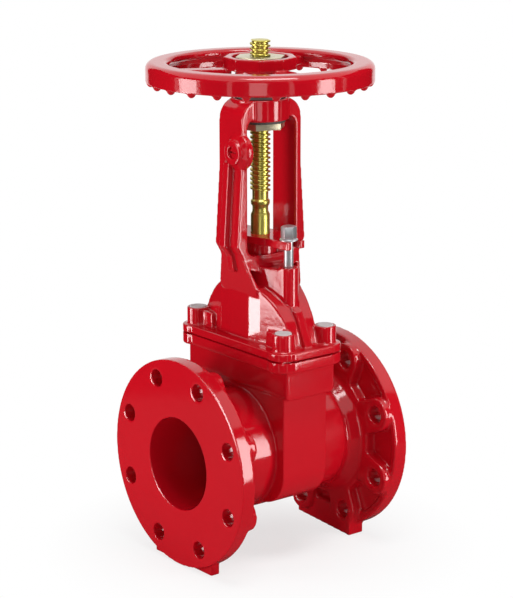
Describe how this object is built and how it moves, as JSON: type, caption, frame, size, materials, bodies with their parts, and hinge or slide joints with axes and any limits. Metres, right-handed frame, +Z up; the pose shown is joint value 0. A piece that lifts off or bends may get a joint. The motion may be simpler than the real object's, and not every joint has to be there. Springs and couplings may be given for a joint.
{
  "type": "outside screw and yoke gate valve",
  "caption": "flanged outside screw and yoke gate valve with a rising threaded stem, a yoke on a domed bonnet, a two-bolt gland and a handwheel",
  "frame": {"origin": "on the floor under the stem, at the bottom centre of the bounding box", "axes": "+X along the pipe from the inlet flange to the outlet flange, +Y across the pipe, +Z up along the stem"},
  "size_m": [0.244, 0.244, 0.5631],
  "materials": {
    "red_casting": "glossy red powder coat over a sand-cast iron surface",
    "stem_brass": "machined yellow brass, bright on the thread crests",
    "nut_bronze": "pale machined bronze, satin",
    "zinc_steel": "bright zinc plating, lightly brushed",
    "black_rubber": "matt black moulded rubber",
    "sealing_wax": "pale grey sealing wax, slightly domed and soft",
    "bare_iron": "bare grey cast iron"
  },
  "bodies": {
    "valve": {"body": "red_casting", "bonnet": "red_casting", "bonnet_gasket": "black_rubber", "bonnet_bolt_1": "zinc_steel", "bonnet_bolt_2": "zinc_steel", "bonnet_bolt_3": "zinc_steel", "bonnet_bolt_4": "zinc_steel", "wax_plug_1": "sealing_wax", "wax_plug_2": "sealing_wax", "wax_plug_3": "sealing_wax", "wax_plug_4": "sealing_wax", "gland": "red_casting", "gland_packing": "black_rubber", "gland_bolt_1": "zinc_steel", "gland_bolt_2": "zinc_steel", "gland_washer_1": "zinc_steel", "gland_washer_2": "zinc_steel", "lug_plug": "red_casting", "lower_thrust_washer": "black_rubber", "upper_thrust_washer": "black_rubber"},
    "drive": {"stem_nut": "nut_bronze", "handwheel": "red_casting", "wheel_nut": "nut_bronze", "wheel_washer": "zinc_steel"},
    "rising": {"stem": "stem_brass", "gate_core": "bare_iron", "gate_rubber": "black_rubber", "gate_nut": "nut_bronze", "gate_pin": "zinc_steel"}
  },
  "joints": [
    {"name": "handwheel_turn", "type": "hinge", "parent": "valve", "child": "drive", "pos_m": [0, 0, 0.515], "axis": [0, 0, 1], "range_deg": [0, 7632]},
    {"name": "stem_lift", "type": "slide", "parent": "valve", "child": "rising", "axis": [0, 0, 1], "range_m": [0, 0.10601]}
  ],
  "couplings": [
    {"joint": "stem_lift", "follows": "handwheel_turn", "m_per_rad": 0.00079577}
  ]
}
